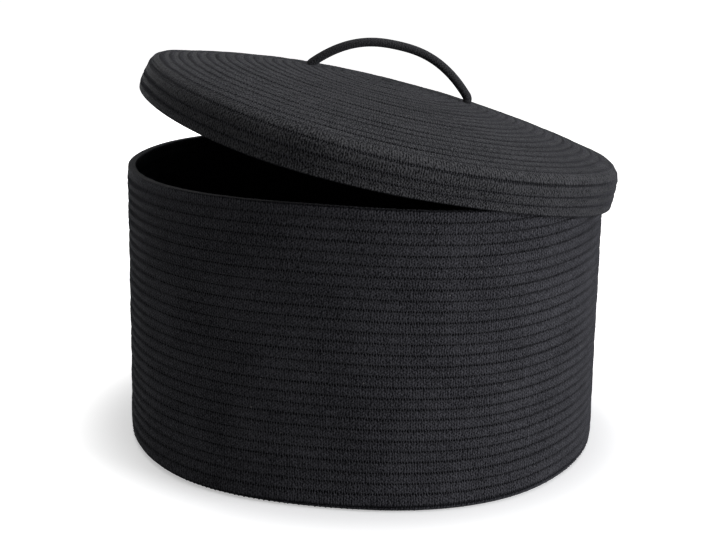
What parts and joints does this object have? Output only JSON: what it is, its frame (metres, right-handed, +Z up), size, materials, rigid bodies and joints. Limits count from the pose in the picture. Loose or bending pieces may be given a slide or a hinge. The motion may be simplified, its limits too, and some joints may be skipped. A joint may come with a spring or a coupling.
{
  "type": "laundry hamper",
  "caption": "Round laundry hamper of coiled, sewn cotton rope with a straight wall and a loose domed cap lid, tilted open on the rim and lifted by an arched cord handle.",
  "frame": {"origin": "middle of the basket's underside, on the floor", "axes": "+Z up along the basket's own axis, +X towards the side where the tilted lid rests on the rim (the hinge line is turned 8 degrees from that side towards the back), +Y away from the viewer; the handle spans along X"},
  "size_m": [0.4913, 0.4968, 0.3979],
  "materials": {
    "basket_rope": "black cotton rope, coiled and zigzag sewn, matt and slightly fuzzy",
    "lid_rope": "black cotton rope, coiled and zigzag sewn, matt and slightly fuzzy",
    "handle_rope": "black braided cotton cord, matt"
  },
  "bodies": {
    "basket": {"base_coil": "basket_rope", "wall_coil": "basket_rope"},
    "lid": {"lid_top_coil": "lid_rope", "lid_skirt_coil": "lid_rope", "handle_knot_left": "handle_rope", "handle_knot_right": "handle_rope"},
    "handle": {"handle_cord": "handle_rope"}
  },
  "joints": [
    {"name": "lid_tilt", "type": "hinge", "parent": "basket", "child": "lid", "pos_m": [0.24489, 0.03442, 0.25199], "axis": [-0.1392, 0.9903, 0], "range_deg": [-10.8, 68]},
    {"name": "handle_swing", "type": "hinge", "parent": "lid", "child": "handle", "pos_m": [0.01536, 0.00216, 0.36146], "axis": [0.9826, -0.0024, -0.1856], "range_deg": [-75, 75], "stiffness_Nm_per_rad": 0.02}
  ]
}
